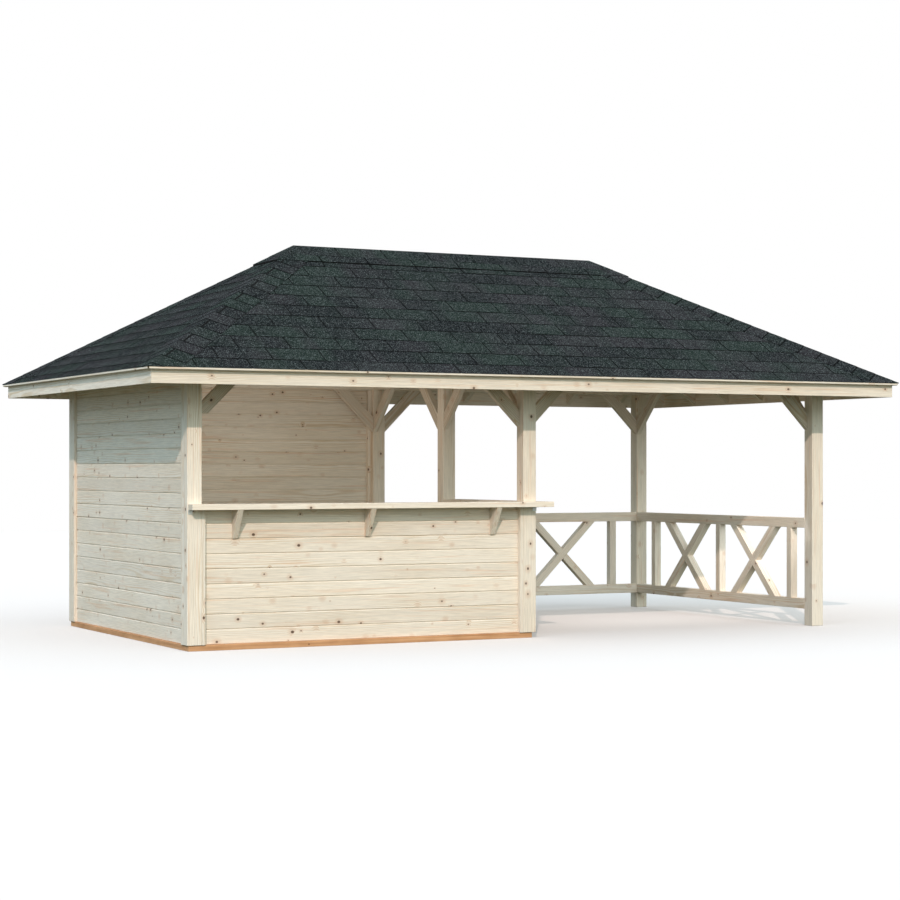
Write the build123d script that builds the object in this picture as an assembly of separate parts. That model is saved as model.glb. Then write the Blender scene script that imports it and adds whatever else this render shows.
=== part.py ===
from build123d import *
import os
from math import atan2, cos, degrees, radians, sqrt, tan

# Garden gazebo with a hipped shingle roof on seven square posts
# The left half is a boarded bar room with two counters, the right half is an open seating bay
# Millimetres, origin on the ground at the plan centre, +X along the ridge to the right, -Y to the front

# Plan, measured over the outer faces of the posts
plan_length = 6040.0
plan_width = 3150.0
post_size = 120.0

# Base plates under the bar room
base_thickness = 45.0
base_width = 95.0
base_inset = 13.0
base_right_inset = 31.0
base_joint_gap = 0.3

# Heights above the base plates
post_height = 2130.0
eave_rise = 7.0

# Roof
roof_pitch = 29.7
ridge_length = 2934.0
fascia_overhang = 438.0
fascia_height = 123.0
fascia_thickness = 20.0
roof_board_thickness = 14.0
roof_board_overhang = 35.0
shingle_thickness = 10.0
shingle_overhang = 8.0
cap_thickness = 7.0
cap_reach = 294.0

# Roof frame
rafter_depth = 95.0
rafter_width = 45.0
rafter_spacing = 600.0
rafter_seat = 50.0
ridge_depth = 145.0

# Knee braces
brace_width = 100.0
brace_thickness = 45.0
brace_reach = 403.0

# Tongue and groove boarding
board_cover = 121.0
board_thickness = 20.0
board_chamfer = 5.0
batten_width = 30.0
batten_depth = 45.0
left_wall_recess = 28.0
counter_recess = 45.0

# Counters
counter_height = 1053.0
shelf_thickness = 45.0
front_shelf_overhang = 100.0
side_shelf_overhang = 120.0
shelf_end_inset = 7.0
bracket_thickness = 45.0
bracket_height = 231.0
bracket_toe = 30.0
bracket_setback = 27.0
bracket_lead = 296.0
bracket_spacing = 1140.0
side_bracket_lead = 296.0

# Railings
rail_height = 90.0
rail_depth = 70.0
rail_clearance = 105.0
railing_top = 928.0
baluster_width = 70.0
right_railing_start = 242.0
right_railing_end = 322.0
back_railing_start = 211.0
back_railing_end = 281.0

# How far a cutting solid runs past what it cuts
cut_margin = 50.0

# Derived places
x_out = plan_length / 2
y_out = plan_width / 2
x_in = x_out - post_size
y_in = y_out - post_size
x_mid = post_size / 2
z_base = base_thickness
z_beam = z_base + post_height
slope = tan(radians(roof_pitch))
plumb = 1 / cos(radians(roof_pitch))
eave_x = x_out + fascia_overhang
eave_y = y_out + fascia_overhang
eave_z = z_beam + eave_rise
ridge_half = ridge_length / 2
end_run = (eave_x - ridge_half) / eave_y
hip_turn = degrees(atan2(1, end_run))
ridge_z = eave_z + eave_y * slope
z_seat = eave_z + (fascia_overhang + rafter_seat) * slope - rafter_depth * plumb
shelf_z = z_base + counter_height
shingle_top = roof_board_thickness + shingle_thickness


# A box given by its lowest and highest coordinates
def block(x, y, z):
    size = Box(x[1] - x[0], y[1] - y[0], z[1] - z[0], align=(Align.MIN, Align.MIN, Align.MIN))
    return Pos(x[0], y[0], z[0]) * size


# A closed outline as a face in the XY plane
def outline(points):
    return make_face(Polyline(*points, close=True))


# Upright plates: points are (along, height), cut from one face of the timber to the other
def plate_along_x(points, y):
    drawn = extrude(Plane.XZ * outline(points), -(y[1] - y[0]))
    return Pos(0, y[0], 0) * drawn


def plate_along_y(points, x):
    drawn = extrude(Plane.YZ * outline(points), x[1] - x[0])
    return Pos(x[0], 0, 0) * drawn


def save(name, *solids):
    export_step(solids[0] if len(solids) == 1 else Compound(children=list(solids)), f"parts/{name}.step")


# Everything under the four slopes that lie a lift above the underside of the roof boards
# and end plumb a reach outside the fascia; the end slopes are a little steeper than the long ones
def roof_mass(lift, reach):
    far_x = eave_x + reach * end_run
    far_y = eave_y + reach
    edge = eave_z + lift * plumb - reach * slope
    peak = ridge_z + lift * plumb
    gable = [(-far_y, 0), (far_y, 0), (far_y, edge), (0, peak), (-far_y, edge)]
    ends = [(-far_x, 0), (far_x, 0), (far_x, edge), (ridge_half, peak), (-ridge_half, peak), (-far_x, edge)]
    across = extrude(Plane.YZ * outline(gable), far_x, both=True)
    along = extrude(Plane.XZ * outline(ends), far_y, both=True)
    return across & along


# One even layer of the roof
def roof_layer(bottom, top, reach):
    return roof_mass(top, reach) - roof_mass(bottom, reach + cut_margin)


# The plan of each slope, mitred along the hips, as a tall prism
def roof_sectors():
    d = eave_y + 2 * cut_margin
    far_x = ridge_half + d * end_run
    front = [(-far_x, -d), (far_x, -d), (ridge_half, 0), (-ridge_half, 0)]
    right = [(ridge_half, 0), (far_x, -d), (far_x, d)]
    tall = ridge_z + 2 * cut_margin
    front_sector = extrude(outline(front), tall)
    right_sector = extrude(outline(right), tall)
    return {
        "front": front_sector,
        "back": Rot(0, 0, 180) * front_sector,
        "left": Rot(0, 0, 180) * right_sector,
        "right": right_sector,
    }


# Base plates: a flat frame under the bar room, butted with a hairline gap
def make_base():
    left = -x_out + base_inset
    right = x_mid - base_right_inset
    front = -y_out + base_inset
    back = -front
    z = (0, base_thickness)
    inner = (front + base_width + base_joint_gap, back - base_width - base_joint_gap)
    save(
        "base_frame",
        block((left, right), (front, front + base_width), z),
        block((left, right), (back - base_width, back), z),
        block((left, left + base_width), inner, z),
        block((right - base_width, right), inner, z),
    )


# Posts: those of the bar room stand on the base plates, the two on the right stand on the ground
def make_posts():
    rows = {"front": (-y_out, -y_in), "back": (y_in, y_out)}
    columns = {"left": (-x_out, -x_in), "middle": (-x_mid, x_mid), "right": (x_in, x_out)}
    for row, y in rows.items():
        for column, x in columns.items():
            foot = 0 if column == "right" else z_base
            save(f"post_{row}_{column}", block(x, y, (foot, z_beam)))
    save("post_centre", block((-x_mid, x_mid), (-x_mid, x_mid), (z_base, z_beam)))


# Beams: one along each side and a tie beam across the middle, all seated on the posts
def make_beams():
    z = (z_beam, z_seat)
    beams = {
        "beam_front": block((-x_out, x_out), (-y_out, -y_in), z),
        "beam_back": block((-x_out, x_out), (y_in, y_out), z),
        "beam_left": block((-x_out, -x_in), (-y_in, y_in), z),
        "beam_right": block((x_in, x_out), (-y_in, y_in), z),
        "tie_beam": block((-x_mid, x_mid), (-y_in, y_in), z),
    }
    for name, beam in beams.items():
        save(name, beam)
    return beams


# The side view of one knee brace: plumb cut at the post, level cut under the beam
def brace_points(face, direction):
    low = z_beam - brace_reach
    rise = brace_width * sqrt(2)
    side = [(0, low), (brace_reach, z_beam), (brace_reach - rise, z_beam), (0, low + rise)]
    return [(face + direction * u, z) for u, z in side]


def make_braces():
    front_y = (-y_in - brace_thickness, -y_in)
    back_y = (y_in, y_in + brace_thickness)
    row = [(-x_in, 1), (-x_mid, -1), (x_mid, 1), (x_in, -1)]
    save("braces_front", *[plate_along_x(brace_points(*place), front_y) for place in row])
    save("braces_back", *[plate_along_x(brace_points(*place), back_y) for place in row])
    right_x = (x_in, x_in + brace_thickness)
    tie_x = (-x_mid, -x_mid + brace_thickness)
    ends = [(-y_in, 1), (y_in, -1)]
    middle = [(-x_mid, -1), (x_mid, 1)]
    save("braces_right", *[plate_along_y(brace_points(*place), right_x) for place in ends])
    save("braces_tie", *[plate_along_y(brace_points(*place), tie_x) for place in ends + middle])


# Section of a boarded wall: both faces carry a V where one board meets the next
def boarding_points(faces, z):
    near, far = faces
    joints = []
    level = z[0] + board_cover
    while level < z[1] - board_chamfer:
        joints.append(level)
        level += board_cover
    up = []
    down = []
    for level in joints:
        up += [(near, level - board_chamfer), (near + board_chamfer, level), (near, level + board_chamfer)]
        down += [(far, level - board_chamfer), (far - board_chamfer, level), (far, level + board_chamfer)]
    return [(near, z[0])] + up + [(near, z[1]), (far, z[1])] + down[::-1] + [(far, z[0])]


# A wall whose boards run along X or along Y between two posts
def boarding(run, faces, top, along):
    section = boarding_points(faces, (z_base, top))
    if along == "x":
        return plate_along_y(section, run)
    return plate_along_x(section, run)


def make_walls():
    left_x = (-x_out + left_wall_recess, -x_out + left_wall_recess + board_thickness)
    back_y = (y_out - board_thickness, y_out)
    front_y = (-y_out + counter_recess, -y_out + counter_recess + board_thickness)
    side_x = (x_mid - counter_recess - board_thickness, x_mid - counter_recess)
    bay_x = (-x_in, -x_mid)
    save("left_wall", boarding((-y_in, y_in), left_x, z_beam, "y"))
    save("back_wall", boarding(bay_x, back_y, z_beam, "x"))
    save("front_counter_wall", boarding(bay_x, front_y, shelf_z, "x"))
    save("side_counter_wall", boarding((-y_in, -x_mid), side_x, shelf_z, "y"))

    battens = []
    for x in ends_of(bay_x):
        battens.append(block(x, (-y_out, front_y[0]), (z_base, shelf_z)))
        battens.append(block(x, (front_y[1], front_y[1] + batten_depth), (z_base, shelf_z)))
        battens.append(block(x, (back_y[0] - batten_depth, back_y[0]), (z_base, z_beam)))
    for y in ends_of((-y_in, y_in)):
        battens.append(block((-x_out, left_x[0]), y, (z_base, z_beam)))
        battens.append(block((left_x[1], left_x[1] + batten_depth), y, (z_base, z_beam)))
    for y in ends_of((-y_in, -x_mid)):
        battens.append(block((side_x[1], x_mid), y, (z_base, shelf_z)))
        battens.append(block((side_x[0] - batten_depth, side_x[0]), y, (z_base, shelf_z)))
    save("wall_battens", *battens)
    return front_y, side_x


# The strips that the battens cover at both ends of a bay
def ends_of(run):
    return [(run[0], run[0] + batten_width), (run[1] - batten_width, run[1])]


# Shelves: planks let in between the posts, with a nose that runs on in front of them
def make_shelves():
    z = (shelf_z, shelf_z + shelf_thickness)
    nose_y = (-y_out - front_shelf_overhang, -y_out)
    nose_x = (x_mid, x_mid + side_shelf_overhang)
    front_nose = block((-x_out + shelf_end_inset, nose_x[1]), nose_y, z)
    front_plank = block((-x_in, -x_mid), (-y_out, -y_in), z)
    save("front_shelf", front_nose + front_plank)
    side_nose = block(nose_x, (-y_out, x_mid - shelf_end_inset), z)
    side_plank = block((-x_mid, x_mid), (-y_in, -x_mid), z)
    save("side_shelf", side_nose + side_plank)


# Side view of a tapered shelf bracket: depth from the boards, height
def bracket_points(depth):
    low = shelf_z - bracket_height
    return [(0, low), (bracket_toe, low), (depth, shelf_z), (0, shelf_z)]


def make_brackets(front_y, side_x):
    half = bracket_thickness / 2
    front_depth = counter_recess + front_shelf_overhang - bracket_setback
    side_depth = counter_recess + side_shelf_overhang - bracket_setback
    brackets = []
    first = -x_in + bracket_lead
    for place in range(3):
        x = first + place * bracket_spacing
        side = [(front_y[0] - u, z) for u, z in bracket_points(front_depth)]
        brackets.append(plate_along_y(side, (x - half, x + half)))
    for y in (-y_in + side_bracket_lead, -x_mid - side_bracket_lead):
        side = [(side_x[1] + u, z) for u, z in bracket_points(side_depth)]
        brackets.append(plate_along_x(side, (y - half, y + half)))
    save("shelf_brackets", *brackets)


# Railing: two rails, balusters and half-lapped crosses, drawn flat and cut from one thickness
def railing_face(start, end, first, last):
    low = z_base + rail_clearance
    high = z_base + railing_top
    bottom = low + rail_height
    top = high - rail_height
    run = end - start
    middle = (bottom + top) / 2
    rail = Rectangle(run, rail_height)
    face = Pos(start + run / 2, low + rail_height / 2) * rail
    face += Pos(start + run / 2, high - rail_height / 2) * rail
    field = Pos(start + run / 2, middle) * Rectangle(run, top - bottom + rail_height)
    pitch = (run - first - last) / 4
    for place in range(5):
        u = start + first + place * pitch
        if place % 2 == 0:
            face += Pos(u, middle) * Rectangle(baluster_width, top - bottom)
        else:
            length = (top - bottom + rail_height) * sqrt(2)
            for turn in (45, -45):
                face += (Pos(u, middle) * Rot(0, 0, turn) * Rectangle(length, baluster_width)) & field
    return face


def make_railings():
    right = extrude(Plane.YZ * railing_face(-y_in, y_in, right_railing_start, right_railing_end), rail_depth)
    save("right_railing", Pos(x_in, 0, 0) * right)
    back = extrude(Plane.XZ * railing_face(x_mid, x_in, back_railing_start, back_railing_end), -rail_depth)
    save("back_railing", Pos(0, y_in, 0) * back)


# Slabs that become rafters once they are cut to the roof's underside
def upright_slab(along, across):
    return block(along, across, (0, ridge_z))


def make_roof_frame(beams, sectors):
    half = rafter_width / 2
    under = roof_layer(-rafter_depth, 0, -fascia_thickness)
    plates = beams["beam_front"] + beams["beam_back"] + beams["beam_left"] + beams["beam_right"]
    ridge = block((-ridge_half, ridge_half), (-half, half), (ridge_z - ridge_depth, ridge_z)) & roof_mass(0, 0)
    save("ridge_board", ridge)

    far = (eave_y + cut_margin) * sqrt(2)
    hip_slab = upright_slab((0, far), (-half, half))
    hips = {}
    for side, turn in (("front_right", -hip_turn), ("back_right", hip_turn)):
        hips[side] = Pos(ridge_half, 0, 0) * (Rot(0, 0, turn) * hip_slab)
    hips["front_left"] = Rot(0, 0, 180) * hips["back_right"]
    hips["back_left"] = Rot(0, 0, 180) * hips["front_right"]
    hip_mass = hips["front_right"] + hips["back_right"] + hips["front_left"] + hips["back_left"]
    middle_strip = upright_slab((-eave_x, eave_x), (-half, half))
    save("hip_rafters", *[((hip & under) - middle_strip) - plates for hip in hips.values()])

    frame = ((under - hip_mass) - plates) - ridge
    lines = {"front": [], "back": [], "left": [], "right": []}
    count = int((eave_x - fascia_thickness - half) // rafter_spacing)
    for place in range(-count, count + 1):
        x = place * rafter_spacing
        for side, y in (("front", (-eave_y, -half)), ("back", (half, eave_y))):
            lines[side].append(upright_slab((x - half, x + half), y))
    count = int((eave_y - fascia_thickness - half) // rafter_spacing)
    for place in range(-count, count + 1):
        y = place * rafter_spacing
        for side, x in (("left", (-eave_x, -ridge_half)), ("right", (ridge_half, eave_x))):
            lines[side].append(upright_slab(x, (y - half, y + half)))
    for side, slabs in lines.items():
        bay = frame & sectors[side]
        save(f"rafters_{side}", *[solid for slab in slabs for solid in (bay & slab).solids()])


# Fascia boards nailed to the rafter ends, their tops bevelled to the roof boards
def make_fascia(sectors):
    z = (eave_z - fascia_height, ridge_z)
    outer = block((-eave_x, eave_x), (-eave_y, eave_y), z)
    inner_x = eave_x - fascia_thickness * end_run
    inner_y = eave_y - fascia_thickness
    ring = (outer - block((-inner_x, inner_x), (-inner_y, inner_y), z)) & roof_mass(0, 0)
    for side, sector in sectors.items():
        save(f"fascia_{side}", ring & sector)


# Roof boards, the shingle layer on them and the raised cap along the ridge
def make_roof_cover(sectors):
    boards = roof_layer(0, roof_board_thickness, roof_board_overhang)
    shingles = roof_layer(roof_board_thickness, shingle_top, roof_board_overhang + shingle_overhang)
    for side, sector in sectors.items():
        save(f"roof_boards_{side}", boards & sector)
        save(f"shingles_{side}", shingles & sector)
    cap_x = ridge_half + cap_reach * end_run
    hood = roof_layer(shingle_top, shingle_top + cap_thickness, 0)
    save("ridge_cap", hood & block((-cap_x, cap_x), (-cap_reach, cap_reach), (0, 2 * ridge_z)))


make_base()
make_posts()
wall_plates = make_beams()
make_braces()
counter_y, counter_x = make_walls()
make_shelves()
make_brackets(counter_y, counter_x)
make_railings()
slopes = roof_sectors()
make_roof_frame(wall_plates, slopes)
make_fascia(slopes)
make_roof_cover(slopes)
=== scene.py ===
import math
import bmesh
import bpy
import numpy as np
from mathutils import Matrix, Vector


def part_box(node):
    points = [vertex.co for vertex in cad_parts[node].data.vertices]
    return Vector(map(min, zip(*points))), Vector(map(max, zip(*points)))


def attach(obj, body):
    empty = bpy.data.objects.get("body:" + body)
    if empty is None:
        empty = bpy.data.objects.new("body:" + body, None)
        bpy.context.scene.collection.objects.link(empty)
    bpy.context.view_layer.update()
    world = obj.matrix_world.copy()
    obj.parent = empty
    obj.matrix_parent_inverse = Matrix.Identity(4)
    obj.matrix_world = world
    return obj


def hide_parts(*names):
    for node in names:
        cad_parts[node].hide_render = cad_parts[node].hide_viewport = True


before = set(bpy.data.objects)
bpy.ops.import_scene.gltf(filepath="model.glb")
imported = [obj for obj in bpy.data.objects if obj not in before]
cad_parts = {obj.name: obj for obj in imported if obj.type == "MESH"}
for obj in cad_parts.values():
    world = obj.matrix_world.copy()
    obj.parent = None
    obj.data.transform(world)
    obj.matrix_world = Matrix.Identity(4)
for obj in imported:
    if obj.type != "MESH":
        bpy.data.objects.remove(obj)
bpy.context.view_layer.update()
print("frame loaded,", len(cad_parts), "nodes")


def srgb(text):
    # "#rrggbb" as it looks on a screen -> linear values for a shader
    c = np.array([int(text[i:i + 2], 16) for i in (1, 3, 5)]) / 255
    c = np.where(c <= 0.04045, c / 12.92, ((c + 0.055) / 1.055) ** 2.4)
    return (*[float(v) for v in c], 1.0)


def addNode(tree, kind, settings, inputs):
    # one node with its settings, and its inputs as plain values or as links; gives its outputs
    node = tree.nodes.new("ShaderNode" + kind)
    for name, value in settings.items():
        setattr(node, name, value)
    for name, value in inputs.items():
        if isinstance(value, bpy.types.NodeSocket):
            tree.links.new(value, node.inputs[name])
        else:
            node.inputs[name].default_value = value
    return node.outputs


# Node tree of a material or a world, without the nodes it starts with
def emptyTree(owner):
    owner.use_nodes = True
    owner.node_tree.nodes.clear()
    return owner.node_tree


# Lowest and highest corner of a CAD node as arrays
def boxOf(node):
    low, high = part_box(node)
    return np.array(low), np.array(high)


xAxis, yAxis, zAxis = np.eye(3)
spruceSlot, baseSlot, shingleSlot = "planed_spruce", "impregnated_base", "bitumen_shingles"
rng = np.random.default_rng(7)


# Corner points of an outline replaced by short arcs: every corner becomes four points on
# the quadratic curve from one side to the other, "radius" away from the corner
def easedOutline(points, radius):
    p = np.asarray(points, float)
    before = np.roll(p, 1, axis=0) - p
    after = np.roll(p, -1, axis=0) - p
    before /= np.linalg.norm(before, axis=1)[:, None]
    after /= np.linalg.norm(after, axis=1)[:, None]
    t = np.linspace(0, 1, 4)[None, :, None]
    start = (p + before * radius)[:, None]
    end = (p + after * radius)[:, None]
    curve = (1 - t) ** 2 * start + 2 * t * (1 - t) * p[:, None] + t ** 2 * end
    return curve.reshape(-1, 2)


# Four corners, half the width and half the height to each side of the middle
def rectangle(width, height):
    w, h = width / 2, height / 2
    return [(-w, -h), (w, -h), (w, h), (-w, h)]


# Stick of timber: outline point (a, b) runs along the axis through foot + a*side + b*rise
# from the first end plane to the second; both ends are chamfered by "ease".
# An end plane is (point, normal). Grain is measured along "grain" if the fibres don't follow the axis.
def stick(outline, foot, axis, side, rise, planes, ease=0.002, grain=None, wobble=0.0):
    a = np.asarray(outline, float)
    foot, axis, side, rise = (np.asarray(v, float) for v in (foot, axis, side, rise))
    middle = a.mean(axis=0)
    size = np.ptp(a, axis=0).min()
    shrunk = middle + (a - middle) * (1 - 2 * ease / size)

    def ring(section, plane, inset):
        points = foot + section[:, :1] * side + section[:, 1:] * rise
        point, normal = (np.asarray(v, float) for v in plane)
        along = ((point - points) @ normal) / (axis @ normal) + inset
        return points + along[:, None] * axis

    first, last = planes
    rings = [ring(shrunk, first, 0), ring(a, first, ease), ring(a, last, -ease), ring(shrunk, last, 0)]
    verts = np.concatenate(rings) + rng.normal(0, 1, 3) * wobble * (1 - np.abs(axis))
    n = len(a)
    j = np.arange(n)
    k = (j + 1) % n
    strip = np.stack([j, k, n + k, n + j], 1)
    quads = np.concatenate([strip, strip + n, strip + 2 * n])
    caps = np.stack([j[::-1], j + 3 * n])
    # volume from the quads' two triangles and the caps' fans; a negative one means inside out
    fans = [np.stack([np.full(n - 2, c[0]), c[1:-1], c[2:]], 1) for c in caps]
    tri = np.concatenate([quads[:, [0, 1, 2]], quads[:, [0, 2, 3]]] + fans)
    p = verts[tri] - verts.mean(axis=0)
    if np.einsum("ij,ij->i", p[:, 0], np.cross(p[:, 1], p[:, 2])).sum() < 0:
        quads, caps = quads[:, ::-1], caps[:, ::-1]
    g = axis if grain is None else np.asarray(grain, float)
    g = g / np.linalg.norm(g)
    s = side - g * (side @ g)
    s = s / np.linalg.norm(s) if np.linalg.norm(s) > 1e-6 else rise
    frameOf = np.stack([g, s, np.cross(g, s)])
    centre = verts.mean(axis=0)
    # every stick is cut from its own place in the trunk: metres along it and off the pith
    offset = [rng.uniform(-6, 6), rng.uniform(-0.16, 0.16), rng.choice([-1, 1]) * rng.uniform(0.03, 0.11)]
    local = (verts - centre) @ frameOf.T + offset
    tone = np.full(len(verts), rng.uniform(0, 1))
    return {"verts": verts, "faces": quads, "caps": caps, "grain": local, "tone": tone}


# Values given to the points of a mesh: one number or one vector each
def giveAttribute(mesh, name, values):
    kind, field = ("FLOAT_VECTOR", "vector") if values.ndim == 2 else ("FLOAT", "value")
    mesh.attributes.new(name, kind, "POINT").data.foreach_set(field, values.ravel())


# Joins the sticks of one piece into a mesh; end faces take the second material
def timberPiece(name, sticks, materials, slotName, *replaced):
    verts, grain, tone = (np.concatenate([s[key] for s in sticks]) for key in ("verts", "grain", "tone"))
    faces, slots, at = [], [], 0
    for s in sticks:
        faces += (s["faces"] + at).tolist() + (s["caps"] + at).tolist()
        slots += [0] * len(s["faces"]) + [len(materials) - 1] * len(s["caps"])
        at += len(s["verts"])
    mesh = bpy.data.meshes.new(name)
    mesh.from_pydata(verts.tolist(), [], faces)
    for m in materials:
        mesh.materials.append(m)
    mesh.polygons.foreach_set("material_index", slots)
    giveAttribute(mesh, "grain", grain)
    giveAttribute(mesh, "tone", tone)
    mesh.polygons.foreach_set("use_smooth", [True] * len(faces))
    mesh.set_sharp_from_angle(angle=math.radians(40))
    piece = finishPiece(name, mesh, slotName, *replaced)
    weighted = piece.modifiers.new("flatFaces", "WEIGHTED_NORMAL")     # arrises shade round, faces stay flat
    weighted.keep_sharp = True
    weighted.weight = 100
    return piece


# Every new piece rides on the one body; the CAD nodes it replaces are hidden
def finishPiece(name, mesh, slotName, *replaced):
    mesh.update()
    piece = bpy.data.objects.new(name, mesh)
    bpy.context.scene.collection.objects.link(piece)
    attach(piece, "root")
    if replaced:
        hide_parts(*replaced)
    return piece


# Last nodes of a material: the shader with the look's own values over a bump from the relief
def finishMaterial(tree, look, colour, roughness, relief):
    bump = addNode(tree, "Bump", {}, {**look["bump"], "Height": relief})[0]
    inputs = {**look["shader"], "Base Color": colour, "Roughness": roughness, "Normal": bump}
    addNode(tree, "OutputMaterial", {}, {"Surface": addNode(tree, "BsdfPrincipled", {}, inputs)[0]})


# Settings that many nodes share
times, timesPlus = {"operation": "MULTIPLY"}, {"operation": "MULTIPLY_ADD"}
plus, largest = {"operation": "ADD"}, {"operation": "MAXIMUM"}
softRange = {"interpolation_type": "SMOOTHSTEP"}
colourMix = {"data_type": "RGBA"}

# Planed, untreated spruce: pale cream with faint growth rings, thin reddish streaks and small
# dark knots. The eye sees a matt surface with lines along the timber and a knot every few hands.
spruce = {
    "early": "#F1E6D7",          # soft early wood
    "late": "#D6BD9B",           # harder late wood between the rings
    "streak": "#E0B48F",         # reddish streaks
    "knot": "#4A301E",
    "knotHalo": "#C08A5C",
    "ringPitch": 0.0085,         # real rings are 2-4 mm, drawn wider so that they show
    "taper": 0.006,              # how fast the rings leave the axis, which draws the long arches
    "ringStrength": (0.15, 0.7),
    "endRings": 0.75,            # ring strength on cut ends
    "fibre": 0.0085,             # fibre lines are finer still, drawn this wide for the same reason
    "streakWidth": 0.0238,
    "streakStrength": 0.45,
    "wander": 0.026,             # the fibres wander sideways by up to half of this
    "knotCell": 0.085,           # one knot at most in each cell of this size
    "knotRadius": 0.0145,
    "knotless": 0.42,            # this share of the cells has none
    "knotBulge": 0.009,          # the rings give way to a knot by this much
    "knotStrength": 0.9, "knotHaloStrength": 0.28,
    "fibreTone": (0.86, 1.07),
    "boardTone": (0.93, 1.03),   # one board is this much darker or lighter than the next
    "endTone": 0.86,             # cut ends look darker
    "roughness": (0.54, 0.74),
    "shader": {"IOR": 1.5, "Specular IOR Level": 0.35},
    "bump": {"Strength": 0.35, "Distance": 0.0004},
}


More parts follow.
